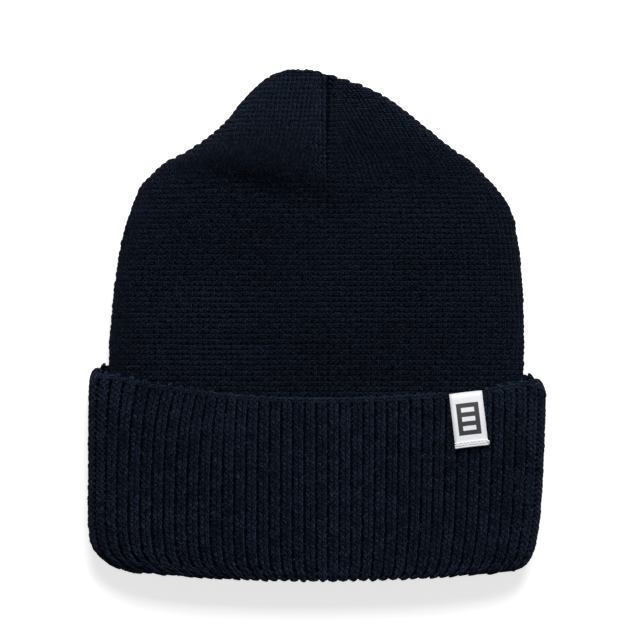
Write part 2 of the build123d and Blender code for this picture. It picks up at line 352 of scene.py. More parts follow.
@dataclass
class HatForm:
    """The hat's soft shape in millimetres, with y from the mouth and z from the surface below."""

    length: float = 0.0
    cuff_width: float = 0.0
    cuff_height: float = 0.0
    body_height: float = 0.0
    crown_start: float = 0.0
    cuff_depth: float = 88.0
    hem_rise: tuple[float, float] = (11.5, 8.3)  # how much higher the hem's left and right ends are
    hem_lean: tuple[float, float] = (8.6, 5.6)  # and how much more on the back
    hem_drop: float = 5.6  # the edge dips where the fabric turns round the side,
    hem_turn: float = 98.0  # from this far out
    label_pinch: float = 2.6
    mouth_rise: tuple[float, float] = (7.4, 6.6)
    label_x: float = 70.4
    seam_x: float = 5.4
    tip_start: float = 231.0
    tip_end: float = 244.2  # the drawn-up gathers stand a little past the crown's own length
    tip_height: float = 13.0
    # Soft rises and dents of the front: depth, middle x and y, reach in x and y, slant.
    dents: tuple = ((-9.0, -42, 142, 36, 36, 0.0), (1.6, 38, 208, 26, 13, 0.5),
                    (-2.0, 60, 178, 30, 16, 0.0))
    puff: float = 11.5  # how far the crown's left half stands above the hollow below it
    groove: float = 3.0  # the depth of the front seam
    # The tube's left and right edges, at heights above the mouth.
    left: tuple = ((0, -90), (20, -96), (60, -98.5), (110, -98.8), (124, -98), (143, -96), (162, -92.8),
                   (176, -88.8), (187, -84.5), (195, -77.5), (200, -71.5), (205, -62), (210, -54),
                   (219, -43.4), (229, -35.3), (236, -28.5), (241, -22), (244, -13))
    right: tuple = ((0, 90), (20, 96), (60, 98), (105, 98.8), (124, 98.8), (143, 98), (162, 96),
                    (176, 93), (187, 86), (195, 78.5), (200, 74), (205, 66.5), (210, 60),
                    (219, 48.8), (229, 36), (236, 23), (241, 8), (244, -3))
    high: tuple = ((0, 21.6), (92, 21.6), (104, 22.4), (124, 24), (150, 24), (172, 23.2), (190, 20.5),
                   (205, 18.5), (218, 17), (231, 14), (246, 11.5))
    low: tuple = ((0, 4.4), (96, 4.4), (124, 0), (231, 0))
    # The cuff's left and right edges and its height, at heights above the mouth.
    cuff_left: tuple = ((0, -85), (1.5, -91), (5, -102), (9.3, -106.8), (14, -108.4), (23, -109.2),
                        (50, -109), (80, -108.9), (85, -108.4), (88, -106))
    cuff_right: tuple = ((0, 89), (1.5, 96.5), (4, 101), (8, 103.6), (13, 105), (22, 106.6),
                         (45, 108.2), (60, 108.8), (84, 109.6), (88, 107))
    cuff_tall: tuple = ((0, 24.6), (30, 26), (68, 26), (88, 24.6))

    def __post_init__(self) -> None:
        """Reads the hat's main sizes from the frame."""
        mouth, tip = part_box("cuff_fold")[0][1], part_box("crown_gore_front_left")[1][1]
        self.length = (tip - mouth) / MM
        band_low, band_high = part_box("cuff_band")
        self.cuff_width = (band_high[0] - band_low[0]) / MM
        self.cuff_height = (band_high[2] - band_low[2]) / MM
        self.body_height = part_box("body_tube")[1][2] / MM
        self.crown_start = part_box("crown_gore_front_left")[0][1] / MM + self.length / 2

    def tube_section(self, y: float) -> tuple[float, float, float, float]:
        """The tube's left, right, low and high edges at y."""
        at = np.array([y])
        low, high = (float(smooth_curve(edge, at)[0]) for edge in (self.low, self.high))
        if y > self.tip_start:
            closing = (y - self.tip_start) / (self.tip_end - self.tip_start)
            shrink = math.sqrt(max(0.0, 1 - closing**2))
            middle = self.tip_height / 2
            low = middle - (middle - low) * shrink
            high = middle + (high - middle) * shrink
        left, right = (float(smooth_curve(edge, at)[0]) for edge in (self.left, self.right))
        return left, right, low, high

    def cuff_section(self, y: float) -> tuple[float, float, float, float]:
        """The cuff's left, right, low and high edges at y."""
        at = np.array([y])
        tall = float(smooth_curve(self.cuff_tall, at)[0])
        middle = self.cuff_height / 2
        left, right = (float(smooth_curve(edge, at)[0]) for edge in (self.cuff_left, self.cuff_right))
        return left, right, middle - tall / 2, middle + tall / 2

    def bow(self, x: np.ndarray, along: float, top: np.ndarray | float = 1.0) -> np.ndarray:
        """How much higher than its middle a line of the cuff stands at x.

        Args:
            x: places across the hat.
            along: 0 at the mouth and 1 at the hem.
            top: 1 on the front, 0 at the sides and -1 on the back.

        Returns:
            The rise at each place.
        """
        x = np.asarray(x, float)
        out = (x / (self.cuff_width / 2)) ** 2
        mouth = np.where(x < 0, *self.mouth_rise)
        hem = np.where(x < 0, *self.hem_rise) + np.where(x < 0, *self.hem_lean) * (1 - top) / 2
        turn = np.clip((np.abs(x) - self.hem_turn) / (self.cuff_width / 2 - self.hem_turn), 0, 1)
        pinch = self.label_pinch * bump((x - self.label_x) / 8.5) * max(0.0, along - 0.9) * 10
        return out * (mouth * (1 - along) + hem * along) - along * self.hem_drop * turn**2 - pinch

    def hollows(self, x: np.ndarray, y: np.ndarray) -> np.ndarray:
        """How far the front of the tube and crown rises or sinks by itself, in soft cloth's way."""
        puffed = 1 / (1 + np.exp(-(y - 190 + 0.2 * (x + 20)) / 3.4))
        lift = self.puff * puffed * bump((x + 22) / 38) * bump(np.clip(y - 204, 0, None) / 26)
        for depth, x0, y0, wide, tall, slant in self.dents:
            lift += depth * bump(np.hypot((x - x0) / wide, (y - y0 + slant * (x - x0)) / tall))
        lift += 1.0 * np.sin(x / 23.0 + 0.7) * bump((y - 130) / 34)
        lift += 0.7 * np.sin(y / 14.0 + x / 41.0) * bump(x / 80)
        seam = np.clip((y - 184) / 34, 0, 1)
        lift -= self.groove * seam * bump((x - self.seam_x) / 3.4)
        return lift

    def world(self, points: np.ndarray) -> np.ndarray:
        """Points of the form in metres, in the frame."""
        moved = np.array(points, float)
        moved[..., 1] -= self.length / 2
        return moved * MM


class Ring:
    """One outline round the hat at a given y: flat above and below, and round at the sides."""

    SIDE_POWER = 7.0
    SAMPLES = 161

    def __init__(self, section: tuple[float, float, float, float], seam_x: float, inset: float) -> None:
        """Samples the outline and finds where the four gores meet.

        Args:
            section: left, right, low and high edges.
            seam_x: where the front and back seams lie.
            inset: how far the outline is drawn in.
        """
        left, right, low, high = section
        self.middle = (left + right) / 2
        half = max((right - left) / 2 - inset, 0.4)
        tall = max((high - low) / 2 - inset, 0.25)
        centre = (low + high) / 2
        turn = np.sin(np.linspace(-np.pi / 2, np.pi / 2, self.SAMPLES))
        rise = tall * np.sqrt(np.clip(1 - np.abs(turn) ** self.SIDE_POWER, 0, 1))
        x = self.middle + half * np.concatenate([turn, turn[-2:0:-1]])
        z = centre + np.concatenate([rise, -rise[-2:0:-1]])
        self.x = np.append(x, x[0])
        self.z = np.append(z, z[0])
        self.top = np.append(np.concatenate([rise, -rise[-2:0:-1]]) / tall, 0.0)
        step = np.hypot(np.diff(self.x), np.diff(self.z))
        self.arc = np.concatenate([[0.0], np.cumsum(step)])
        last = self.SAMPLES - 1
        share = float(np.clip((seam_x - self.middle) / half, -0.6, 0.6))
        front = float(np.interp(share, turn, self.arc[:last + 1]))
        self.anchors = np.array([0.0, front, self.arc[last], self.arc[-1] - front, self.arc[-1]])

    def length(self, gore: Gore) -> float:
        """The gore's width along the outline."""
        return float(self.anchors[gore.value + 1] - self.anchors[gore.value])

    def at(self, gore: Gore, share: np.ndarray) -> tuple[np.ndarray, np.ndarray, np.ndarray]:
        """x, z and how far up the front each share of the way across a gore lies."""
        start, end = self.anchors[gore.value], self.anchors[gore.value + 1]
        arc = (start + (end - start) * share) % self.arc[-1]
        return (np.interp(arc, self.arc, self.x), np.interp(arc, self.arc, self.z),
                np.interp(arc, self.arc, self.top))


@dataclass
class TubeSkin:
    """The outer face of the tube and crown."""

    form: HatForm

    def ring(self, y: float) -> Ring:
        """The outline at y."""
        return Ring(self.form.tube_section(y), self.form.seam_x, 0.0)

    def place(self, gore: Gore, share: np.ndarray, y: float) -> np.ndarray:
        """Points on the skin, in millimetres."""
        x, z, top = self.ring(y).at(gore, share)
        lifted = self.form.hollows(x, np.full_like(x, y)) * np.clip(top, 0, 1) ** 1.2
        fade = np.clip((y - 92) / 20, 0, 1) * np.clip((self.form.tip_end - y) / 9, 0, 1)
        return np.stack([x, np.full_like(x, y), z + lifted * fade], axis=-1)


@dataclass
class CuffSkin:
    """The fabric's face from inside the mouth, round the fold and up the band to the hem."""

    form: HatForm
    outside: float = 1.85  # from the cuff's outer face to the middle of the loops
    inside: float = 5.9
    edge_turn: float = 1.2  # the hem rounds in over its last stretch,
    edge_dip: float = 1.4  # by this much
    skew: float = 6.0  # the ribs lean to the right near the hem at the left

    def path(self, way: float, reach: float) -> tuple[float, float, float]:
        """Where a way along the fabric from the fold lies.

        Args:
            way: distance from the outermost point of the fold, positive up the outside.
            reach: distance at which the hem ends.

        Returns:
            The inset, y, and the share of the way from mouth to hem.
        """
        radius = (self.inside - self.outside) / 2
        middle = (self.inside + self.outside) / 2
        quarter = math.pi * radius / 2
        if way > quarter:
            y = middle + way - quarter
            inset = self.outside
        elif way < -quarter:
            y = middle - way - quarter
            inset = self.inside
        else:
            inset = middle - radius * math.sin(way / radius)
            y = middle - radius * math.cos(way / radius)
        over = way - (reach - self.edge_turn)
        if over > 0:
            inset += self.edge_dip * (1 - math.cos(min(over / self.edge_turn, math.pi / 2)))
            y -= max(0.0, over - self.edge_turn)
        return inset, y, y / self.form.cuff_depth

    def place(self, gore: Gore, share: np.ndarray, way: float, reach: float) -> np.ndarray:
        """Points on the fabric's face, in millimetres."""
        inset, y, along = self.path(way, reach)
        ring = Ring(self.form.cuff_section(y), self.form.seam_x, inset)
        x, z, top = ring.at(gore, share)
        bow = self.form.bow(x, along, top)
        sway = 0.55 * np.sin(x / 19.0 + y / 26.0) + 0.35 * np.sin(x / 8.5 - y / 33.0 + 2.0)
        part = min(max(along, 0.0), 1.0)
        puff = sway * np.clip(top, 0, 1) * math.sin(math.pi * part)
        lean = self.skew * bump((x + 74) / 32) * np.clip(top, 0, 1) * part**5
        return np.stack([x + lean, y + bow, z + puff], axis=-1)


# ---------------------------------------------------------------- knit


@dataclass
class StitchField:
    """Places for stitches: where each sits, which way it faces and climbs, and how large it is."""

    centres: list = field(default_factory=list)
    facings: list = field(default_factory=list)
    climbs: list = field(default_factory=list)
    sizes: list = field(default_factory=list)

    def add_row(self, centre: np.ndarray, across: np.ndarray, climb: np.ndarray) -> None:
        """Adds a row of stitches from their centres and their spans across and up."""
        facing = unit(np.cross(across, climb))
        tall = np.linalg.norm(climb, axis=1, keepdims=True)
        upward = climb / np.maximum(tall, 1e-9)
        side = np.cross(upward, facing)
        wide = np.abs((across * side).sum(axis=1, keepdims=True))
        self.centres.append(centre)
        self.facings.append(facing)
        self.climbs.append(upward)
        self.sizes.append(np.concatenate([wide, tall, np.sqrt(wide * tall)], axis=1))

    def count(self) -> int:
        """How many stitches there are."""
        return sum(len(c) for c in self.centres)


@dataclass
class LoopKnitter:
    """Knits a stitch field: a geometry-nodes tree lays a low yarn loop at every place."""

    wale_mm: float = 5.2  # between rib columns, for a loop of nominal size
    course_mm: float = 2.5  # between rows
    yarn_mm: float = 0.62  # the yarn's radius
    spread: float = 0.25  # half the distance between a loop's two legs, as a share of the wale
    reach: float = 0.70  # half the loop's height, as a share of the course
    rise_mm: float = 0.95  # how far the legs stand forward
    sink_mm: float = 1.5  # how far the yarn dips between two columns
    slack: float = 0.12  # how far, in radians, a loop leans by itself
    points: int = 13
    sides: int = 5

    def inputs(self) -> dict[str, float | int]:
        """The loop's sizes, by the names of the tree's inputs."""
        return {"Wale": self.wale_mm * MM, "Course": self.course_mm * MM,
                "Yarn Radius": self.yarn_mm * MM, "Rise": self.rise_mm * MM,
                "Sink": self.sink_mm * MM, "Spread": self.spread, "Reach": self.reach,
                "Slack": self.slack, "Seed": 7, "Points": self.points}

    def tree(self) -> bpy.types.NodeTree:
        """Builds the node tree that turns places into yarn loops."""
        tree = bpy.data.node_groups.new("knit_loops", "GeometryNodeTree")
        face = tree.interface
        face.new_socket("Geometry", in_out="INPUT", socket_type="NodeSocketGeometry")
        for name, value in self.inputs().items():
            kind = "NodeSocketInt" if isinstance(value, int) else "NodeSocketFloat"
            face.new_socket(name, in_out="INPUT", socket_type=kind).default_value = value
        face.new_socket("Yarn", in_out="INPUT", socket_type="NodeSocketMaterial")
        face.new_socket("Geometry", in_out="OUTPUT", socket_type="NodeSocketGeometry")
        given = add(tree, "NodeGroupInput")
        # The yarn comes from behind at the left, dips to the foot of the V and leaves at the right.
        line = add(tree, "GeometryNodeMeshLine", {"Count": given.outputs["Points"]})
        number = add(tree, "GeometryNodeInputIndex")
        final = add(tree, "ShaderNodeMath", {0: given.outputs["Points"], 1: 1.0},
                    operation="SUBTRACT")
        way = add(tree, "ShaderNodeMapRange", {"Value": number.outputs[0],
                  "From Max": final.outputs[0], "To Min": -1.0, "To Max": 1.0})
        # Each step is a name, an operation and its terms: numbers, inputs or earlier steps.
        steps = (("phase", "MULTIPLY", "along", math.pi / 0.8),
                 ("far", "ABSOLUTE", "along"), ("tail", "POWER", "far", 12.0),
                 ("ends", "MULTIPLY", "tail", "along"), ("half", "MULTIPLY", "phase", 0.5),
                 ("swing", "SINE", "half"), ("legs", "MULTIPLY", "swing", "Spread"),
                 ("held", "MULTIPLY", "Spread", math.sin(math.pi / 1.6)),
                 ("link", "SUBTRACT", 0.5, "held"), ("out", "MULTIPLY", "ends", "link"),
                 ("wide", "ADD", "legs", "out"), ("x", "MULTIPLY", "wide", "Wale"),
                 ("dip", "COSINE", "phase"), ("tall", "MULTIPLY", "dip", "Course"),
                 ("down", "MULTIPLY", "Reach", -1.0), ("y", "MULTIPLY", "tall", "down"),
                 ("twice", "MULTIPLY", "phase", 2.0), ("lobes", "COSINE", "twice"),
                 ("hung", "MULTIPLY", "lobes", 0.5), ("front", "SUBTRACT", 0.5, "hung"),
                 ("behind", "POWER", "far", 4.0), ("proud", "MULTIPLY", "front", "Rise"),
                 ("sunk", "MULTIPLY", "behind", "Sink"), ("z", "SUBTRACT", "proud", "sunk"),
                 ("less", "MULTIPLY", "Slack", -1.0), ("vary seed", "ADD", "Seed", 11.0),
                 ("lot seed", "ADD", "Seed", 5.0))
        got = {name: given.outputs[name] for name in self.inputs()}
        got["along"] = way.outputs[0]
        for name, operation, *terms in steps:
            got[name] = add(tree, "ShaderNodeMath", {k: got.get(term, term) for k, term in
                            enumerate(terms)}, operation=operation).outputs[0]
        path = add(tree, "ShaderNodeCombineXYZ", {0: got["x"], 1: got["y"], 2: got["z"]})
        bent = add(tree, "GeometryNodeSetPosition", {"Geometry": line.outputs[0],
                   "Position": path.outputs[0]})
        curve = add(tree, "GeometryNodeMeshToCurve", {0: bent.outputs[0]})
        strand = add(tree, "GeometryNodeCurvePrimitiveCircle", {"Resolution": self.sides,
                     "Radius": given.outputs["Yarn Radius"]})
        # The way along the yarn and the direction round it are kept for the plies.
        way = add(tree, "GeometryNodeSplineParameter")
        kept_way = add(tree, "GeometryNodeStoreNamedAttribute", {"Geometry": curve.outputs[0],
                       "Name": "way", "Value": way.outputs["Factor"]}, data_type="FLOAT",
                       domain="POINT")
        spot = add(tree, "GeometryNodeInputPosition")
        outward_way = add(tree, "ShaderNodeVectorMath", {0: spot.outputs[0]}, operation="NORMALIZE")
        kept_round = add(tree, "GeometryNodeStoreNamedAttribute", {"Geometry": strand.outputs[0],
                         "Name": "round", "Value": outward_way.outputs[0]},
                         data_type="FLOAT_VECTOR", domain="POINT")
        loop = add(tree, "GeometryNodeCurveToMesh", {0: kept_way.outputs[0], 1: kept_round.outputs[0],
                   "Fill Caps": True})
        round_it = add(tree, "GeometryNodeInputNamedAttribute", {"Name": "round"},
                       data_type="FLOAT_VECTOR")
        far = add(tree, "GeometryNodeInputNamedAttribute", {"Name": "way"}, data_type="FLOAT")
        parts = add(tree, "ShaderNodeSeparateXYZ", {0: round_it.outputs[0]})
        yarn_way = add(tree, "ShaderNodeCombineXYZ", {0: parts.outputs[0], 1: parts.outputs[1],
                       2: far.outputs[0]})
        loop = add(tree, "GeometryNodeStoreNamedAttribute", {"Geometry": loop.outputs[0],
                   "Name": "yarn", "Value": yarn_way.outputs[0]}, data_type="FLOAT_VECTOR",
                   domain="POINT")
        # Each loop leans, stretches and stands proud a little differently.
        facing, climb, size = (add(tree, "GeometryNodeInputNamedAttribute", {"Name": name},
                               data_type="FLOAT_VECTOR") for name in ("facing", "climb", "size"))
        lie = add(tree, "FunctionNodeAxesToRotation", {0: facing.outputs[0], 1: climb.outputs[0]},
                  primary_axis="Z", secondary_axis="Y")
        turn = add(tree, "FunctionNodeRandomValue", {2: got["less"], 3: got["Slack"],
                   "Seed": got["Seed"]})
        nod = add(tree, "ShaderNodeMath", {0: turn.outputs[1], 1: 0.7}, operation="MULTIPLY")
        tilt = add(tree, "ShaderNodeCombineXYZ", {0: turn.outputs[1], 2: nod.outputs[0]})
        lean = add(tree, "FunctionNodeEulerToRotation", {0: tilt.outputs[0]})
        whole = add(tree, "FunctionNodeRotateRotation", {0: lie.outputs[0], 1: lean.outputs[0]},
                    rotation_space="LOCAL")
        vary = add(tree, "FunctionNodeRandomValue", {0: (0.94, 0.93, 0.82), 1: (1.06, 1.07, 1.18),
                   "Seed": got["vary seed"]}, data_type="FLOAT_VECTOR")
        scale = add(tree, "ShaderNodeVectorMath", {0: size.outputs[0], 1: vary.outputs[0]},
                    operation="MULTIPLY")
        placed = add(tree, "GeometryNodeInstanceOnPoints", {"Points": given.outputs[0],
                     "Instance": loop.outputs[0], "Rotation": whole.outputs[0],
                     "Scale": scale.outputs[0]})
        lot = add(tree, "FunctionNodeRandomValue", {"Seed": got["lot seed"]})
        marked = add(tree, "GeometryNodeStoreNamedAttribute", {"Geometry": placed.outputs[0],
                     "Name": "lot", "Value": lot.outputs[1]}, data_type="FLOAT", domain="INSTANCE")
        real = add(tree, "GeometryNodeRealizeInstances", {0: marked.outputs[0]})
        smooth = add(tree, "GeometryNodeSetShadeSmooth", {0: real.outputs[0]})
        dressed = add(tree, "GeometryNodeSetMaterial", {0: smooth.outputs[0],
                      "Material": given.outputs["Yarn"]})
        add(tree, "NodeGroupOutput", {0: dressed.outputs[0]})
        return tree

    def knit(self, name: str, field_of: StitchField, yarn: bpy.types.Material,
             tree: bpy.types.NodeTree, seed: int) -> bpy.types.Object:
        """Knits one piece as a plain mesh.

        Args:
            name: the piece's name.
            field_of: where its stitches go.
            yarn: its material.
            tree: the tree from tree().
            seed: for its irregularities.

        Returns:
            The finished piece.
        """
        mesh = bpy.data.meshes.new(name + "_places")
        centres = np.concatenate(field_of.centres)
        mesh.from_pydata([tuple(c) for c in centres], [], [])
        sizes = np.concatenate(field_of.sizes) / (np.array([self.wale_mm, self.course_mm,
                math.sqrt(self.wale_mm * self.course_mm)]) * MM)
        values = {"facing": np.concatenate(field_of.facings), "climb": np.concatenate(field_of.climbs),
                  "size": sizes}
        for key, value in values.items():
            made = mesh.attributes.new(key, "FLOAT_VECTOR", "POINT")
            made.data.foreach_set("vector", np.asarray(value, np.float32).ravel())
        carrier = show(name + "_carrier", mesh)
        modifier = carrier.modifiers.new("loops", "NODES")
        modifier.node_group = tree
        sockets = {s.name: s.identifier for s in tree.interface.items_tree if s.in_out == "INPUT"}
        for key, value in {**self.inputs(), "Seed": seed, "Yarn": yarn}.items():
            modifier[sockets[key]] = value
        plain = plain_mesh(carrier)
        plain.name = name
        carrier.modifiers.remove(modifier)
        bpy.data.objects.remove(carrier)
        bpy.data.meshes.remove(mesh)
        piece = show(name, plain)
        LOG.info("%s: %d stitches, %d faces", name, field_of.count(), len(plain.polygons))
        return piece


def skin_mesh(name: str, rows: Sequence[np.ndarray], material: bpy.types.Material) -> bpy.types.Object:
    """Builds a closed skin from rows of points, where the last row joins the first.

    Args:
        name: the piece's name.
        rows: points in metres, the same number in each row, round a closed outline.
        material: its material.

    Returns:
        The finished piece.
    """
    count = len(rows[0])
    faces = []
    for r in range(len(rows)):
        low, high = r * count, ((r + 1) % len(rows)) * count
        for c in range(count):
            d = (c + 1) % count
            faces.append((low + c, low + d, high + d, high + c))
    mesh = bpy.data.meshes.new(name)
    mesh.from_pydata([tuple(p) for row in rows for p in row], [], faces)
    mesh.materials.append(material)
    mesh.shade_smooth()
    piece = show(name, mesh)
    outward(piece)
    return piece


def outward(piece: bpy.types.Object, merge_mm: float = 0.0) -> None:
    """Turns a closed mesh's faces outwards, after merging doubled points where asked."""
    work = bmesh.new()
    work.from_mesh(piece.data)
    if merge_mm:
        bmesh.ops.remove_doubles(work, verts=work.verts, dist=merge_mm * MM)
    bmesh.ops.recalc_face_normals(work, faces=work.faces)
    work.to_mesh(piece.data)
    work.free()


def thread_mesh(name: str, strands: Sequence[tuple[list, float]], fine: int,
                material: bpy.types.Material) -> bpy.types.Object:
    """Makes threads along smooth lines as one plain mesh.

    Args:
        name: the piece's name.
        strands: each a line of points in metres, and the thread's radius in millimetres.
        fine: how many steps each stretch of a line takes.
        material: the thread's material.

    Returns:
        The finished piece.
    """
    curve = bpy.data.curves.new(name, "CURVE")
    curve.dimensions = "3D"
    curve.bevel_depth = MM
    curve.bevel_resolution = 1
    curve.resolution_u = fine
    curve.use_fill_caps = True
    for points, radius in strands:
        spline = curve.splines.new("NURBS")
        spline.points.add(len(points) - 1)
        for target, point in zip(spline.points, points):
            target.co = (*point, 1.0)
            target.radius = radius
        spline.order_u = 3
        spline.use_endpoint_u = True
    carrier = show(name + "_curve", curve)
    plain = plain_mesh(carrier)
    bpy.data.objects.remove(carrier)
    plain.materials.clear()
    plain.materials.append(material)
    plain.shade_smooth()
    LOG.info("%s: %d faces", name, len(plain.polygons))
    return show(name, plain)


# ---------------------------------------------------------------- sub-assemblies


@dataclass
class KnitTube:
    """The tube and the four gores of the crown."""

    form: HatForm
    wardrobe: Wardrobe
    knitter: LoopKnitter
    crown_knitter: LoopKnitter
    columns: tuple[int, int, int, int] = (42, 38, 38, 42)
    # How much of each gore's shaping is taken at its first edge; the rest is taken at its second.
    first_edge: tuple[float, float, float, float] = (0.85, 0.42, 0.5, 0.5)
    row_body: float = 2.5
    row_crown: float = 2.3
    crown_pitch: float = 2.1
    drawn_in: float = 192.0  # above about this height the rib is drawn in and reads as fine columns
    blend: float = 5.0
    # How far a stitch strays from its place, in the open rib and in the drawn-in rib.
    jitter: tuple[float, float] = (0.18, 0.07)
    most_stray: float = 0.2  # keeps the loops above the surface that the hat lies on
    start: float = 76.0  # the lowest row, under the cuff
    depth: float = 1.5  # from the outer face to the middle of the loops
    wall: tuple[float, float] = (2.1, 3.0)  # the ground of the knit, as depths from the outer face
    ground_shares: int = 24  # points of the ground across each gore
    merge_mm: float = 0.02
    seam_margin: float = 0.6  # from a seam to the middle of the column beside it, in columns
    narrower: float = 20.0  # how much narrower than the cuff the tube lies
    fade: float = 36.0  # the height over which the columns close up
    nudge: float = 0.3  # up and down from a stitch, to find which way its column runs

    def rows(self) -> np.ndarray:
        """The rows' places in y, evenly spaced along the curve of the front."""
        y = np.linspace(self.start, self.form.tip_end - 0.25, 1200)
        high = np.array([self.form.tube_section(v)[3] for v in y])
        pitch = np.interp(y, [self.form.crown_start - 30, self.form.crown_start + 30],
                          [self.row_body, self.row_crown])
        step = np.hypot(np.diff(y), np.diff(high)) / pitch[1:]
        number = np.concatenate([[0], np.cumsum(step)])
        return np.interp(np.arange(0, int(number[-1]) + 1), number, y)

    def spread(self, gore: Gore, y: float) -> tuple[float, float]:
        """The first column that reaches y and how many do."""
        skin = TubeSkin(self.form)
        whole = self.columns[gore.value]
        wide = skin.ring(y).length(gore)
        at_start = skin.ring(self.form.crown_start).length(gore) / whole
        fade = np.clip((y - self.form.crown_start) / self.fade, 0, 1)
        pitch = at_start + (self.crown_pitch - at_start) * fade
        number = whole if y <= self.form.crown_start else min(float(whole), wide / pitch)
        return self.first_edge[gore.value] * (whole - number), number

    def stitches(self, gore: Gore, low: float, high: float, tight: bool | None = None) -> StitchField:
        """The stitches of a gore between two heights.

        Args:
            gore: the gore.
            low: the lowest height taken.
            high: the height at which the run ends.
            tight: True for the drawn-in stitches only, False for the open ones, None for both.

        Returns:
            The stitches.
        """
        skin = TubeSkin(self.form)
        found = StitchField()
        choice = np.random.default_rng(gore.value)
        stray = np.random.default_rng(10 + gore.value)
        for y in self.rows():
            if not low <= y < high:
                continue
            first, number = self.spread(gore, y)
            pitch = self.row_body if y < self.form.crown_start else self.row_crown
            columns = np.arange(self.columns[gore.value]) + 0.5
            columns = columns[(columns > first + 0.02) & (columns < first + number - 0.02)]
            # The last column before a seam is drawn up against it.
            if y > self.form.crown_start and len(columns) > 8:
                ends = [columns[0], columns[0] + 4, columns[-1] - 4, columns[-1]]
                moves = [first + self.seam_margin - columns[0], 0, 0,
                         first + number - self.seam_margin - columns[-1]]
                columns = columns + np.interp(columns, ends, moves)
            if not len(columns):
                continue
            drawn = y + choice.normal(0, self.blend, len(columns)) > self.drawn_in
            if tight is not None:
                columns = columns[drawn == tight]
            if not len(columns):
                continue
            up = min(y + self.nudge, self.form.tip_end - 0.1)
            down = y - self.nudge
            first_up, number_up = self.spread(gore, up)
            first_down, number_down = self.spread(gore, down)
            share = (columns - first) / number
            centre = skin.place(gore, share, y)
            right = skin.place(gore, share + 0.25 / number, y)
            left = skin.place(gore, share - 0.25 / number, y)
            across = (right - left) / 0.5
            above = skin.place(gore, np.clip((columns - first_up) / number_up, 0, 1), up)
            below = skin.place(gore, np.clip((columns - first_down) / number_down, 0, 1), down)
            climb = unit(above - below) * pitch
            facing = unit(np.cross(across, climb))
            strayed = np.clip(stray.normal(0, self.jitter[bool(tight)], centre.shape),
                              -self.most_stray, self.most_stray)
            seated = centre - facing * self.depth + strayed
            found.add_row(self.form.world(seated), across * MM, climb * MM)
        return found

    def ground(self) -> bpy.types.Object:
        """The smooth ground behind the loops, as one closed wall of the knit."""
        skin = TubeSkin(self.form)
        shares = np.linspace(0, 1, self.ground_shares, endpoint=False)
        levels = np.concatenate([np.arange(self.start - 2, 225, 3.5), np.arange(226, 240, 1.5),
                                 [241.5, 243.0]])
        faces = []
        for depth in self.wall:
            rows = []
            for y in levels:
                row = []
                for gore in Gore:
                    here = skin.place(gore, shares, y)
                    right = skin.place(gore, shares + 0.01, y)
                    left = skin.place(gore, shares - 0.01, y)
                    up = skin.place(gore, shares, y + 0.2)
                    down = skin.place(gore, shares, y - 0.2)
                    row.append(here - unit(np.cross(right - left, up - down)) * depth)
                rows.append(self.form.world(np.concatenate(row)))
            faces.append(rows)
        outer, inner = faces
        for rows, depth in ((outer, self.wall[0]), (inner, self.wall[1])):
            tip = np.mean(rows[-1], axis=0)
            tip[1] = (self.form.tip_end - self.form.length / 2 - depth) * MM
            rows.append(np.repeat(tip[None, :], len(rows[-1]), axis=0))
        piece = skin_mesh("tube_ground", outer + inner[::-1], self.wardrobe.painted_shade_backing)
        outward(piece, self.merge_mm)
        return piece

    def build(self, tree: bpy.types.NodeTree) -> None:
        """Knits the tube and the gores, and stands each in for its node."""
        crown = self.form.crown_start
        ground = self.ground()
        stand_in(ground, "under_cuff_layer")
        for gore in Gore:
            side = gore.name.lower()
            body = self.knitter.knit(f"body_rib_{side}", self.stitches(gore, 0, crown),
                                     self.wardrobe.body_yarn_painted_shade, tree, 20 + gore.value)
            low = self.knitter.knit(f"crown_open_rib_{side}", self.stitches(gore, crown, 999, False),
                                    self.wardrobe.body_yarn_painted_shade, tree, 40 + gore.value)
            top = self.crown_knitter.knit(f"crown_rib_{side}",
                                          self.stitches(gore, crown, 999, True),
                                          self.wardrobe.body_yarn_painted_shade, tree, 30 + gore.value)
            for piece, node in ((body, "body_tube"), (low, f"crown_gore_{side}"),
                                (top, f"crown_gore_{side}")):
                stand_in(piece, node)


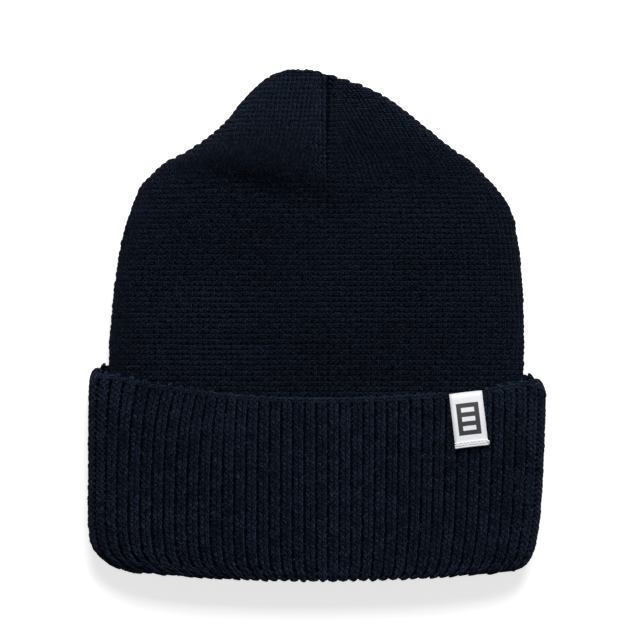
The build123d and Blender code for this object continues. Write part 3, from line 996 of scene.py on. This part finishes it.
@dataclass
class TurnedCuff:
    """The turned-up cuff: fold, band and hem."""

    form: HatForm
    wardrobe: Wardrobe
    knitter: LoopKnitter
    hem_knitter: LoopKnitter
    columns: tuple[int, int, int, int] = (21, 19, 19, 21)
    rows_out: int = 35
    rows_in: int = 7
    hem_rows: int = 2
    edge_inset: float = 0.9  # from the hem's end to the middle of the bound-off chain
    edge_width: float = 3.4
    ground_shares: int = 24
    wall: tuple[float, float, float, float] = (2.1, 5.3, 3.0, 4.4)  # outside and inside, of each face
    sheet_way: float = 150.0  # the cloth's length from inside the mouth to the hem
    round_more: float = 14.0  # how much wider the cloth is than the flattened cuff
    fold_end: int = 3

    def reach(self) -> float:
        """The way from the fold's outermost point to the end of the hem."""
        skin = CuffSkin(self.form)
        middle = (skin.inside + skin.outside) / 2
        quarter = math.pi * (skin.inside - skin.outside) / 4
        return self.form.cuff_depth - middle + quarter - 1.3

    def stitches(self, gore: Gore, first: int, last: int) -> StitchField:
        """The stitches of a gore from row first to row last, counted up from the fold."""
        skin = CuffSkin(self.form)
        reach = self.reach()
        pitch = reach / self.rows_out
        found = StitchField()
        whole = self.columns[gore.value]
        share = (np.arange(whole) + 0.5) / whole
        for row in range(first, last):
            way = (row + 0.5) * pitch
            centre = skin.place(gore, share, way, reach)
            across = (skin.place(gore, share + 0.25 / whole, way, reach)
                      - skin.place(gore, share - 0.25 / whole, way, reach)) / 0.5
            climb = (skin.place(gore, share, way + pitch / 4, reach)
                     - skin.place(gore, share, way - pitch / 4, reach)) * 2
            found.add_row(self.form.world(centre), across * MM, climb * MM)
        return found

    def bound_edge(self, gore: Gore, found: StitchField) -> None:
        """Adds the bound-off edge of a gore: a chain of loops lying along the hem."""
        skin = CuffSkin(self.form)
        reach = self.reach()
        whole = self.columns[gore.value] * 2
        share = (np.arange(whole) + 0.5) / whole
        way = reach - self.edge_inset
        centre = skin.place(gore, share, way, reach)
        along = (skin.place(gore, share + 0.5 / whole, way, reach)
                 - skin.place(gore, share - 0.5 / whole, way, reach))
        up = unit(centre - skin.place(gore, share, way - 1, reach)) * self.edge_width
        found.add_row(self.form.world(centre), up * MM, -along * MM)

    def ground(self) -> bpy.types.Object:
        """The folded ground of the cuff, one closed wall of knit."""
        shares = np.linspace(0, 1, self.ground_shares, endpoint=False)
        reach = self.reach()
        outer, inner = [], []
        skin = CuffSkin(self.form, outside=self.wall[0], inside=self.wall[1])
        quarter = math.pi * 3.2 / 4
        ways = list(np.linspace(-60, -quarter, 14)) + list(np.linspace(-quarter, quarter, 7)[1:-1])
        ways += list(np.linspace(quarter, reach - 2.4, 24))
        for way in ways:
            outer.append(np.concatenate([skin.place(g, shares, way, 999) for g in Gore]))
        # The wall's other face follows the same fold, on its inner side.
        tight = CuffSkin(self.form, outside=self.wall[2], inside=self.wall[3])
        for way in ways:
            eased = way * 0.994 if abs(way) > quarter else way * 0.7 / 1.6
            inner.append(np.concatenate([tight.place(g, shares, eased, 999) for g in Gore]))
        rows = [self.form.world(r) for r in outer + inner[::-1]]
        return skin_mesh("cuff_ground", rows, self.wardrobe.painted_shade_backing)

    def build(self, tree: bpy.types.NodeTree) -> None:
        """Knits the cuff and stands it in for its nodes."""
        ground = self.ground()
        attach(ground, "root")
        top = self.rows_out - self.hem_rows
        for gore in Gore:
            side = gore.name.lower()
            parts = ((f"cuff_rib_{side}", "cuff_band", self.fold_end, top, "rib_knit"),
                     (f"fold_rib_{side}", "cuff_fold", -self.rows_in, self.fold_end, "rib_knit"),
                     (f"hem_rib_{side}", "cuff_hem", top, self.rows_out, "hem_edge"))
            for number, (name, node, first, last, slot) in enumerate(parts):
                stitches = self.stitches(gore, first, last)
                if node == "cuff_hem":
                    self.bound_edge(gore, stitches)
                knitter = self.hem_knitter if node == "cuff_hem" else self.knitter
                piece = knitter.knit(name, stitches, self.wardrobe.cuff_yarn, tree,
                                     50 + 4 * number + gore.value)
                stand_in(piece, node)


@dataclass
class FoldedLabel:
    """The woven ribbon folded over the hem, with the sewing across its cut ends."""

    form: HatForm
    wardrobe: Wardrobe
    width: float = 15.6
    leg: float = 24.9
    thickness: float = 0.42
    x: float = 70.4
    tilt: float = 6.7
    bend: float = 1.9  # the radius of the turn over the hem
    stitch_count: int = 9
    columns: int = 10
    rest: float = 0.45  # from the cuff's face to the ribbon

    def hem_y(self, x: float) -> float:
        """The hem's height at x."""
        return self.form.cuff_depth + float(self.form.bow(np.array(x), 1.0))

    def sink(self, x: float, y: float) -> float:
        """The cuff's outer face at x and y."""
        _, right, low, high = self.form.cuff_section(min(y, self.form.cuff_depth))
        side = abs(x) / right
        return (low + high) / 2 + (high - low) / 2 * math.sqrt(max(0, 1 - side**Ring.SIDE_POWER))

    def profile(self) -> list[tuple[float, float, float]]:
        """The ribbon's line: y from the hem, height over the cuff's face, and way along it."""
        line = []
        for k in range(19):
            t = k / 18
            y = -self.leg + t * (self.leg - self.bend)
            lift = self.rest + 0.55 * math.sin(math.pi * t) ** 2 * t
            line.append((y, lift, 0.0))
        for k in range(1, 9):
            angle = math.pi * k / 8
            line.append((-self.bend + self.bend * math.sin(angle) + 0.6,
                         self.rest - self.bend * (1 - math.cos(angle)), 0.0))
        for k in range(1, 8):
            line.append((-self.bend + 0.6 - k * 3.2, self.rest - 2 * self.bend, 0.0))
        way, out = 0.0, []
        for k, (y, z, _) in enumerate(line):
            if k:
                way += math.hypot(y - line[k - 1][0], z - line[k - 1][1])
            out.append((y, z, way))
        return out

    def point(self, across: float, y: float, lift: float) -> Vector:
        """A point of the ribbon in the frame."""
        turn = math.radians(self.tilt)
        bow = 0.5 * (1 - (2 * across / self.width) ** 2)
        dx = across * math.cos(turn) - y * math.sin(turn)
        dy = across * math.sin(turn) + y * math.cos(turn) + 0.25 * bow
        x = self.x + dx
        top = self.hem_y(self.x)
        z = self.sink(x, top + dy) + lift
        return Vector(self.form.world(np.array([x, top + dy, z])))

    def build(self) -> None:
        """Makes the ribbon, its sewing and the loose thread end."""
        line = self.profile()
        columns = self.columns
        whole = line[-1][2]
        points, uvs = [], []
        for face in (0, 1):
            for k, (y, z, way) in enumerate(line):
                before, after = line[max(k - 1, 0)], line[min(k + 1, len(line) - 1)]
                run = math.hypot(after[0] - before[0], after[1] - before[1])
                ny, nz = -(after[1] - before[1]) / run, (after[0] - before[0]) / run
                off = self.thickness * face
                for c in range(columns + 1):
                    across = (c / columns - 0.5) * self.width
                    points.append(self.point(across, y + ny * off, z + nz * off))
                    uvs.append((c / columns, way / whole))
        count, rows = columns + 1, len(line)
        faces = []
        for r in range(rows - 1):
            for c in range(columns):
                a = r * count + c
                b = a + rows * count
                faces.append((a, a + count, a + count + 1, a + 1))
                faces.append((b, b + 1, b + count + 1, b + count))
        shift = rows * count
        for r in range(rows - 1):
            for c in (0, columns):
                a = r * count + c
                faces.append((a, a + shift, a + shift + count, a + count))
        for r in (0, rows - 1):
            for c in range(columns):
                a = r * count + c
                faces.append((a, a + 1, a + 1 + shift, a + shift))
        mesh = bpy.data.meshes.new("hem_label_ribbon")
        mesh.from_pydata([tuple(p) for p in points], [], faces)
        layer = mesh.uv_layers.new(name="ribbon")
        for loop in mesh.loops:
            layer.data[loop.index].uv = uvs[loop.vertex_index]
        mesh.materials.append(self.wardrobe.satin)
        mesh.shade_smooth()
        label = show("hem_label_ribbon", mesh)
        outward(label)
        stand_in(label, "hem_label")
        self.sew()

    def sew(self) -> None:
        """Zigzag sewing over the label's lower edge, and a loose end of thread."""
        path = []
        steps = self.stitch_count * 2
        for k in range(steps + 1):
            across = (k / steps - 0.5) * (self.width - 0.6)
            y = -self.leg + (0.1 if k % 2 else 2.6)
            path.append((across, y, 1.15 if k % 2 else 1.35))
        strands = [(path, 0.34)]
        for offset in (0.35, 1.35, 2.35):
            row = [((k / 12 - 0.5) * (self.width + 0.2), -self.leg + offset,
                    1.1 + 0.12 * math.sin(k * 2.1)) for k in range(13)]
            strands.append((row, 0.42))
        loose = [(self.width / 2 + out, -self.leg + up, lift) for out, up, lift in
                 ((-0.6, 1.6, 1.2), (0.2, 2.3, 1.9), (0.5, 1.3, 1.7), (0.1, 0.5, 1.0))]
        strands.append((loose, 0.4))
        lines = [([self.point(*spot) for spot in line], radius) for line, radius in strands]
        sewing = thread_mesh("label_sewing", lines, 3, self.wardrobe.white_thread)
        stand_in(sewing, "label_stitches")


@dataclass
class CrownSewing:
    """The overlocked dart seams inside the crown, and the closing stitch."""

    form: HatForm
    wardrobe: Wardrobe
    inner: float = 3.9  # from the crown's outer face to the middle of the seam's thread
    width: float = 1.3
    thread: float = 0.3
    knot: tuple[float, float] = (-6.0, 5.5)  # the closing stitch: its x, and how far below the tip

    def line(self, gore: Gore) -> list[np.ndarray]:
        """The seam's line along a gore's first edge, from the crown's start to its tip."""
        skin = TubeSkin(self.form)
        zero = np.array([0.0])
        points = []
        for y in np.linspace(self.form.crown_start + 2, self.form.length - 7, 90):
            here = skin.place(gore, zero, y)[0]
            across = skin.place(gore, zero + 0.01, y)[0] - skin.place(gore, zero - 0.01, y)[0]
            up = skin.place(gore, zero, y + 0.3)[0] - skin.place(gore, zero, y - 0.3)[0]
            facing = np.cross(across, up)
            facing /= max(np.linalg.norm(facing), 1e-9)
            across /= max(np.linalg.norm(across), 1e-9)
            points.append((here - facing * self.inner, across))
        return points

    def strand(self, name: str, points: list[np.ndarray], node: str) -> None:
        """Makes one thread as a plain mesh and stands it in for a node."""
        line = [self.form.world(point) for point in points]
        stand_in(thread_mesh(name, [(line, self.thread)], 2, self.wardrobe.navy_thread),
                 node)

    def build(self) -> None:
        """Makes the four overlocked seams and the closing stitch."""
        seams = ((Gore.FRONT_LEFT, "left"), (Gore.FRONT_RIGHT, "front"), (Gore.BACK_RIGHT, "right"),
                 (Gore.BACK_LEFT, "back"))
        for gore, side in seams:
            zigzag = []
            for k, (centre, across) in enumerate(self.line(gore)):
                zigzag.append(centre + across * self.width * math.sin(k * 2.0))
            self.strand(f"overlock_{side}", zigzag, f"crown_seam_{side}")
        turns = [np.array([self.knot[0] + 2.6 * math.cos(k * 0.9),
                           self.form.length - self.knot[1] + 0.5 * math.sin(k * 1.7),
                           self.form.tip_height / 2 + 1.4 * math.sin(k * 0.9)]) for k in range(30)]
        self.strand("closing_stitch", turns, "crown_closing_stitch")


@dataclass
class Studio:
    """White paper, soft light from the crown's side, and the camera straight above."""

    form: HatForm
    view_mm: float = 305.0
    distance: float = 3.2
    aim: tuple[float, float] = (2.6, 1.9)
    sensor: float = 36.0
    floor_half: float = 3.0
    air: float = 0.1
    lamps: tuple = (("key_softbox", (0.2, 1.35, 1.5), 1.1, 42.0),
                    ("fill_softbox", (0.5, -0.9, 1.9), 1.8, 4.0))

    def build(self) -> None:
        """Sets the floor, the lights, the world and the camera."""
        scene = bpy.context.scene
        mesh = bpy.data.meshes.new("paper_floor")
        half = self.floor_half
        mesh.from_pydata([(-half, -half, 0), (half, -half, 0), (half, half, 0), (-half, half, 0)], [],
                         [(0, 1, 2, 3)])
        mesh.materials.append(PaperFloorFinish().make())
        show("paper_floor", mesh)
        for name, place, size, power in self.lamps:
            lamp = bpy.data.lights.new(name, "AREA")
            lamp.shape = "SQUARE"
            lamp.size = size
            lamp.energy = power
            stand = show(name, lamp)
            stand.location = place
            stand.rotation_euler = (-Vector(place)).to_track_quat("-Z", "Y").to_euler()
        world = bpy.data.worlds.new("studio_air")
        world.use_nodes = True
        tree = world.node_tree
        tree.nodes.clear()
        air = add(tree, "ShaderNodeBackground", {"Color": (1, 1, 1, 1), "Strength": self.air})
        add(tree, "ShaderNodeOutputWorld", {"Surface": air.outputs[0]})
        scene.world = world
        lens = bpy.data.cameras.new("camera")
        lens.sensor_width = self.sensor
        away = self.distance - 0.5 * self.form.body_height * MM
        lens.lens = self.sensor * away / (self.view_mm * MM)
        lens.clip_end = 20
        camera = show("camera", lens)
        camera.location = (self.aim[0] * MM, self.aim[1] * MM, self.distance)
        scene.camera = camera
        scene.view_settings.view_transform = "Standard"


def main() -> None:
    """Builds the hat, piece by piece, and then the studio."""
    logging.basicConfig(level=logging.INFO, format="%(name)s: %(message)s")
    form = HatForm()
    wardrobe = Wardrobe()
    open_rib = LoopKnitter(wale_mm=2.45, course_mm=2.5, yarn_mm=0.6, spread=0.22, reach=0.58,
                           rise_mm=0.5, sink_mm=0.3, points=11)
    fine_rib = LoopKnitter(wale_mm=2.1, course_mm=2.3, yarn_mm=0.52, spread=0.2, reach=0.74,
                           rise_mm=0.45, sink_mm=0.8, points=11)
    tight_rib = LoopKnitter(wale_mm=5.7, course_mm=2.55, yarn_mm=0.84, spread=0.286, reach=0.80,
                            rise_mm=0.65, sink_mm=1.65)
    tree = open_rib.tree()
    KnitTube(form, wardrobe, open_rib, fine_rib).build(tree)
    edge = LoopKnitter(wale_mm=5.7, course_mm=2.55, yarn_mm=0.86, spread=0.28, reach=0.7, rise_mm=0.6,
                       sink_mm=2.0)
    TurnedCuff(form, wardrobe, tight_rib, edge).build(tree)
    FoldedLabel(form, wardrobe).build()
    CrownSewing(form, wardrobe).build()
    Studio(form).build()
    bpy.context.view_layer.update()


if __name__ == "__main__":
    main()
